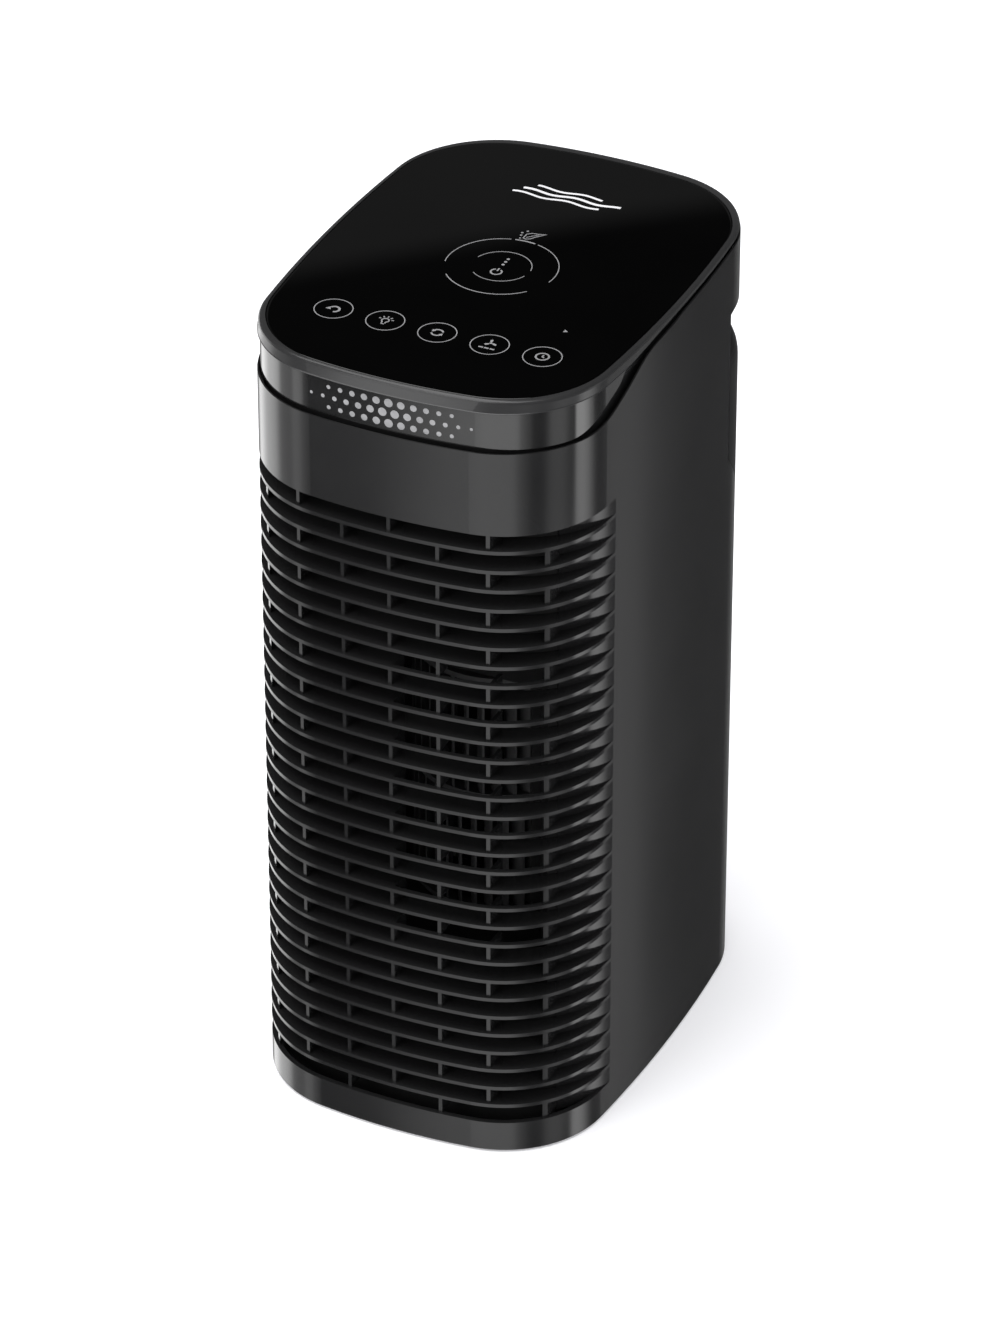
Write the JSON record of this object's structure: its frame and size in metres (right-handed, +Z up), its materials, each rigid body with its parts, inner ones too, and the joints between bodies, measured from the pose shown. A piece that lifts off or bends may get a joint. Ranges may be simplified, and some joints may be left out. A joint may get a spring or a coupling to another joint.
{
  "type": "air purifier",
  "caption": "Upright room air purifier: louvred front outlet, black glass touch top, smoked light band, pull-off rear cover over slide-out filters, and a vertical squirrel-cage blower.",
  "frame": {"origin": "on the floor under the middle of the body, at the centre of the plan", "axes": "+Z up, the louvred front faces -Y, +X to the right seen from the front"},
  "size_m": [0.2014, 0.2748, 0.4625],
  "materials": {
    "casing": "satin black-grey moulded plastic, glossier at the front",
    "black_plastic": "fine matt black",
    "inner_plastic": "matt black moulded",
    "rubber": "soft matt",
    "screw_steel": "zinc plated",
    "bronze_bush": "oiled sintered bronze",
    "motor_steel": "zinc plated sheet steel",
    "bearing_steel": "ground",
    "circuit_board": "green solder mask",
    "board_parts": "electronic components",
    "cable_jacket": "grey flat cable",
    "sensor_plastic": "matt",
    "smoked_band": "smoked, polished",
    "light_guide": "clear acrylic",
    "led": "white diodes",
    "rim": "satin dark grey",
    "black_glass": "black back-printed polished glass",
    "foam_pad": "closed-cell foam",
    "fan_plastic": "moulded satin",
    "spring_steel": "bright wire",
    "latch_plastic": "matt",
    "carbon_foam": "open-cell carbon foam",
    "filter_card": "white filter frame",
    "filter_paper": "pleated white paper",
    "tab_fabric": "woven strap"
  },
  "bodies": {
    "body": {"front_grille": "casing", "main_shell": "casing", "base_pan": "black_plastic", "rubber_feet": "rubber", "base_screws": "screw_steel", "cord_gland": "rubber", "outlet_baffle": "inner_plastic", "outlet_duct": "inner_plastic", "blower_housing_lower": "inner_plastic", "blower_housing_upper": "inner_plastic", "blower_grommets": "rubber", "blower_screws": "screw_steel", "lower_spider": "inner_plastic", "shaft_bush": "bronze_bush", "motor_mount": "inner_plastic", "motor_can": "motor_steel", "motor_endcap": "motor_steel", "motor_bearings": "bearing_steel", "motor_stator": "motor_steel", "motor_screws": "screw_steel", "filter_bay": "inner_plastic", "grip_liner": "black_plastic", "electronics_tray": "inner_plastic", "power_board": "circuit_board", "power_board_parts": "board_parts", "power_board_screws": "screw_steel", "control_cable": "cable_jacket", "air_quality_sensor": "sensor_plastic", "head_chassis": "inner_plastic", "head_screws": "screw_steel", "indicator_band": "smoked_band", "light_guide": "light_guide", "indicator_board": "circuit_board", "indicator_leds": "led", "control_rim": "rim", "control_glass": "black_glass", "touch_board": "circuit_board", "touch_board_screws": "screw_steel", "touch_pads": "foam_pad"},
    "fan": {"fan_blades_lower": "fan_plastic", "fan_blades_upper": "fan_plastic", "fan_plate": "fan_plastic", "fan_shaft": "bearing_steel", "fan_clips": "bearing_steel", "motor_rotor": "motor_steel"},
    "cover": {"rear_cover": "black_plastic", "latch_spring": "spring_steel"},
    "latch": {"release_latch": "latch_plastic"},
    "prefilter": {"prefilter_frame": "black_plastic", "prefilter_mesh": "carbon_foam"},
    "filter": {"hepa_frame": "filter_card", "hepa_pleats": "filter_paper", "filter_seal": "foam_pad", "filter_pull_tab": "tab_fabric"}
  },
  "joints": [
    {"name": "fan_spin", "type": "hinge", "parent": "body", "child": "fan", "pos_m": [0, 0.004, 0.164], "axis": [0, 0, 1], "continuous": true},
    {"name": "cover_pull", "type": "slide", "parent": "body", "child": "cover", "axis": [0, 1, 0], "range_m": [0, 0.24]},
    {"name": "prefilter_pull", "type": "slide", "parent": "body", "child": "prefilter", "axis": [0, 1, 0], "range_m": [0, 0.168]},
    {"name": "filter_pull", "type": "slide", "parent": "body", "child": "filter", "axis": [0, 1, 0], "range_m": [0, 0.1008]},
    {"name": "latch_press", "type": "slide", "parent": "cover", "child": "latch", "axis": [0, 0, -1], "range_m": [0, 0.003], "stiffness_N_per_m": 600, "springref_m": -0.001, "deforming": ["latch_spring"]}
  ],
  "couplings": [
    {"joint": "prefilter_pull", "follows": "cover_pull", "ratio": 0.7},
    {"joint": "filter_pull", "follows": "cover_pull", "ratio": 0.42}
  ]
}
